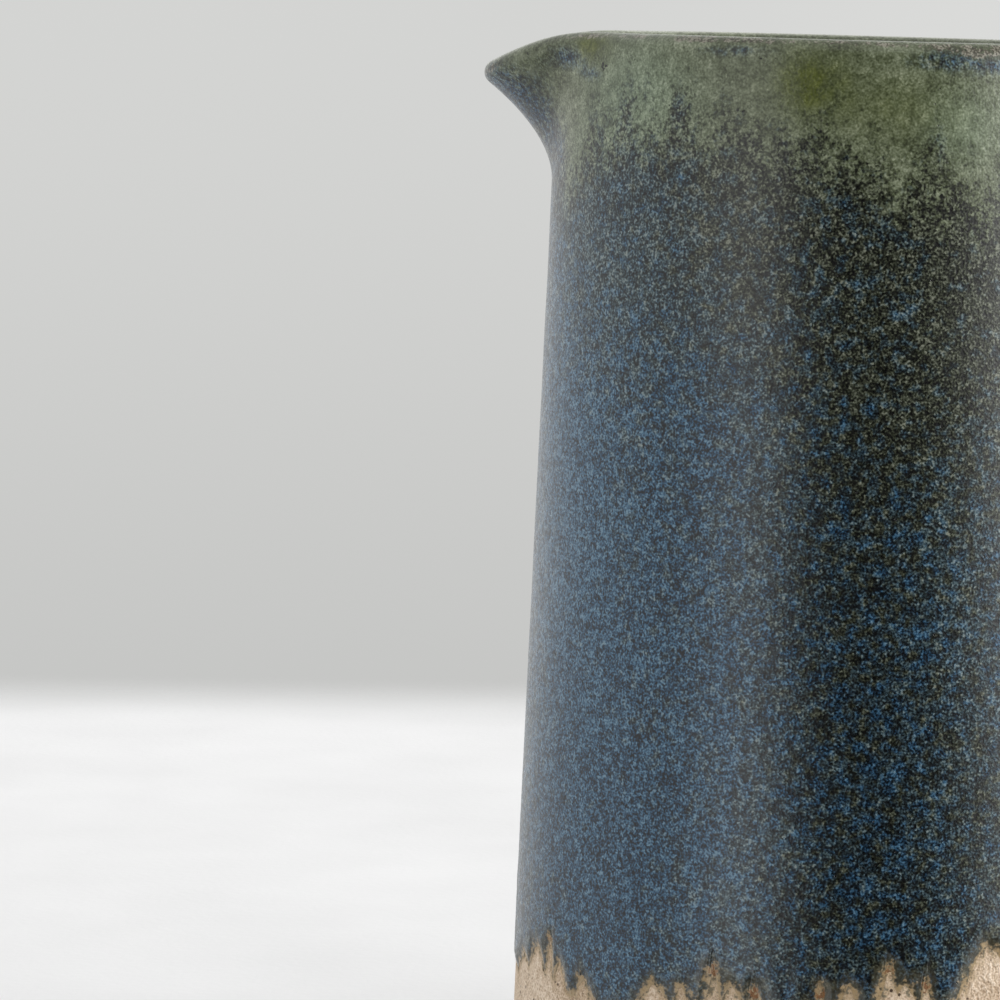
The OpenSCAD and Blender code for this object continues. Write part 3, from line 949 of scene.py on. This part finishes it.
def along_edge(g, n, color):
    """Thin brown and then ochre where the coat runs out."""
    flame = g.noise(1.6, 1.0, 0.5, stretch=(1, 1, 0.5))
    edge = g.add(g.mask("edge_mm"), g.weigh(0.0, (n.crystals, -0.8), (n.fine, -3.0), (flame, -3.0)))
    color = g.blend(g.span(edge, 3.2, 0.9, 0.0, 0.6), color, THIN_BROWN)
    return g.blend(g.span(edge, 1.1, 0.0, 0.0, 0.85), color, OCHRE)


def stained(g, color, fine, grains):
    """Iron stains at the tips of the peaks, in glaze and clay alike."""
    stain = g.times(g.mask("rust"), g.weigh(1.0, (fine, 3.5), (grains, 1.0)))
    return g.blend(g.span(stain, 0.55, 0.95, 0.0, 0.8), color, RUST)


def glaze_material(name):
    """Speckled reduction glaze: blue and olive grains, a green band under the rim, brown where it breaks over
    the lip, a pale crest on the lip with a painted highlight, ochre where it thins out at its lower edge,
    dark green inside darkened as painted shade, and a few pits."""
    material = bpy.data.materials.new(name)
    g = Graph(material)
    n = Grains(g)
    color = under_green(g, n, wall_color(g, n))
    color = along_edge(g, n, over_lip(g, n, color))
    color = stained(g, color, n.fine, n.crystals)
    pits = g.span(g.add(g.noise(0.7, 0.0, w=5.0), g.times(g.mask("pits"), 0.3)), 0.82, 0.87)
    color = g.blend(pits, color, PIT)
    relief = g.add(g.add(n.grain, g.times(n.fine, 1.6)), g.times(pits, -4.0))
    roughness = g.span(n.fine, 0.35, 0.65, 0.34, 0.26)
    g.surface(Base_Color=color, Roughness=roughness, Normal=g.bump(relief, 0.025), IOR=GLAZE_IOR)
    return material


def clay_material():
    """Unglazed sandy stoneware with dark specks, stained ochre just below the glaze."""
    material = bpy.data.materials.new("bare_stoneware")
    g = Graph(material)
    grain = g.noise(0.36, 0.0)
    fine = g.noise(0.80, 1.0, 0.5, w=1.0)
    flame = g.noise(1.6, 1.0, 0.5, stretch=(1, 1, 0.5))
    sand = g.noise(1.5, 2.0, 0.6)
    drift = g.noise(12.0, 2.0, 0.5)
    color = g.ramp(g.weigh(0.5, (grain, 0.9), (fine, 0.5), (sand, 0.6), (drift, 0.5)), CLAY)
    halo = g.add(g.mask("edge_mm"), g.weigh(0.0, (grain, -1.5), (fine, -3.0), (flame, 2.5)))
    color = g.blend(g.span(halo, 1.5, 0.1, 0.0, 0.6), color, OCHRE)
    color = g.blend(g.span(halo, 0.5, -0.4, 0.0, 0.8), color, EDGE_SHADE)
    color = stained(g, color, fine, grain)
    specks = g.times(g.span(g.cells(1.5), 0.24, 0.14), g.span(g.noise(2.6, 1.0, 0.5, w=2.0), 0.50, 0.58))
    color = g.blend(specks, color, IRON_SPECK)
    relief = g.add(g.add(grain, fine), g.times(sand, 1.5))
    roughness = g.span(sand, 0.3, 0.7, 0.82, 0.95)
    g.surface(Base_Color=color, Roughness=roughness, Normal=g.bump(relief, 0.20), IOR=CLAY_IOR)
    return material


# ---- stage: table, surroundings and camera ----

TABLE_SIDE, TABLE_FRONT, TABLE_BACK, TABLE_FADE = 1.2, -1.1, 0.46, 0.045
TABLE_TONES = [(0.3, (0.765, 0.765, 0.765)), (0.7, (0.825, 0.825, 0.825))]


def table_material():
    """Pale and hardly mottled, and clear beyond its far end."""
    material = bpy.data.materials.new("pale_table")
    g = Graph(material)
    color = g.ramp(g.noise(60.0, 3.0, 0.5), TABLE_TONES)
    alpha = g.span(g.split()["Y"], TABLE_BACK - TABLE_FADE, TABLE_BACK + TABLE_FADE, 1.0, 0.0)
    g.surface(Base_Color=color, Roughness=0.8, Normal=g.bump(g.noise(2.0), 0.05), IOR=1.4, Alpha=alpha)
    return material


def build_table():
    """A pale table top that fades out behind. The part in front does not show in the glaze."""
    material = table_material()
    spans = {"table": (0, TABLE_BACK + 2 * TABLE_FADE), "table_front": (TABLE_FRONT, 0)}
    for name, (front, back) in spans.items():
        mesh = bpy.data.meshes.new(name)
        corners = [(x, y, 0) for x, y in (
            (-TABLE_SIDE, front), (TABLE_SIDE, front), (TABLE_SIDE, back), (-TABLE_SIDE, back))]
        mesh.from_pydata(corners, [], [(0, 1, 2, 3)])
        mesh.materials.append(material)
        table = bpy.data.objects.new(name, mesh)
        bpy.context.scene.collection.objects.link(table)
        table.visible_glossy = name == "table"


# Brightness of the studio below eye level, at eye level and overhead, by angle from the camera's side, left
# being positive
BELOW = [
    (-180, 1.00), (-130, 1.70), (-95, 3.00), (-70, 2.10), (-55, 1.25), (-45, 0.50), (-36, 0.00), (14, 0.00),
    (20, 0.50), (27, 1.85), (35, 2.90), (43, 2.80), (52, 1.90), (62, 1.05), (75, 1.15), (90, 1.40),
    (110, 1.45), (135, 1.30), (180, 1.00)]
EYE_LEVEL = [
    (-180, 1.20), (-130, 5.00), (-95, 12.0), (-70, 6.50), (-55, 3.00), (-45, 0.90), (-36, 0.00), (14, 0.00),
    (20, 0.45), (27, 1.30), (35, 1.55), (43, 1.40), (52, 1.15), (62, 0.85), (75, 0.90), (90, 1.00),
    (110, 1.05), (135, 1.10), (180, 1.20)]
OVERHEAD = [(-180, 1.1), (-90, 1.1), (0, 1.0), (90, 1.3), (180, 1.1)]
# Upward parts of a direction between which each of these passes into the next
BELOW_TO_EYE, EYE_TO_OVERHEAD = (-0.10, 0.0), (0.25, 0.55)
# Upward parts between which the light from below grows, and its share at both ends
DARK_UNDERNEATH = (-0.5, -0.2, 0.35, 1.0)
# The backdrop behind the table: its colour, and how it lightens upwards and to the right, by the matching
# part of a direction and with the brightness at both ends
BACKDROP = (1.0, 1.006, 0.988)
LIGHTER_UP, LIGHTER_RIGHT = (-0.19, 0.0, 0.555, 0.655), (-0.08, 0.05, 1.0, 1.07)


def build_world():
    """The studio that lights the pitcher and shows in its glaze, and the backdrop that the camera sees."""
    world = bpy.data.worlds.new("studio")
    bpy.context.scene.world = world
    g = Graph(world, "Generated")
    right, back, up = g.split()
    angle = g.math("ARCTAN2", g.times(right, -1.0), g.times(back, -1.0))
    share = g.math("MULTIPLY_ADD", angle, 1 / (2 * math.pi), 0.5)

    def level(stops):
        """Brightness round one level, as a ramp scaled to its peak."""
        peak = max(value for _, value in stops)
        return g.times(g.ramp(share, [(at / 360 + 0.5, (value / peak,) * 3) for at, value in stops]), peak)

    def pass_over(low_level, high_level, limits):
        """One level passing into the next between two upward parts."""
        high = g.span(up, *limits)
        return g.add(g.times(low_level, g.math("SUBTRACT", 1.0, high)), g.times(high_level, high))

    strength = pass_over(level(BELOW), level(EYE_LEVEL), BELOW_TO_EYE)
    strength = pass_over(strength, level(OVERHEAD), EYE_TO_OVERHEAD)
    strength = g.times(strength, g.span(up, *DARK_UNDERNEATH))
    surround = g.node("ShaderNodeBackground")
    g.put(surround.inputs["Strength"], strength)
    backdrop = g.node("ShaderNodeBackground")
    g.put(backdrop.inputs["Color"], BACKDROP)
    g.put(backdrop.inputs["Strength"], g.times(g.span(up, *LIGHTER_UP), g.span(right, *LIGHTER_RIGHT)))
    choose = g.node("ShaderNodeMixShader")
    g.put(choose.inputs[0], g.node("ShaderNodeLightPath").outputs["Is Camera Ray"])
    g.put(choose.inputs[1], surround.outputs[0])
    g.put(choose.inputs[2], backdrop.outputs[0])
    g.put(g.tree.nodes["World Output"].inputs["Surface"], choose.outputs[0])


LENS_MM, SENSOR_MM = 158.4, 36
CAMERA_AT = (0, -0.750, 0.195)
LOOKS_DOWN, LOOKS_LEFT = 6.483, 4.577       # degrees


def build_camera():
    data = bpy.data.cameras.new("camera")
    data.sensor_width, data.lens = SENSOR_MM, LENS_MM
    data.clip_start = 0.01
    camera = bpy.data.objects.new("camera", data)
    bpy.context.scene.collection.objects.link(camera)
    camera.location = CAMERA_AT
    camera.rotation_euler = (math.radians(90 - LOOKS_DOWN), 0, math.radians(LOOKS_LEFT))
    bpy.context.scene.camera = camera
    bpy.context.scene.view_settings.view_transform = "Standard"


# ---- everything together ----

outer_coat, rim_coat, liner_coat = build_coats()
clay_body = build_clay()
handle = build_handle()

for piece in (outer_coat, rim_coat, liner_coat, handle):
    piece.data.materials.append(glaze_material(piece.name + "_glaze"))
clay_body.data.materials.append(clay_material())

build_table()
build_world()
build_camera()
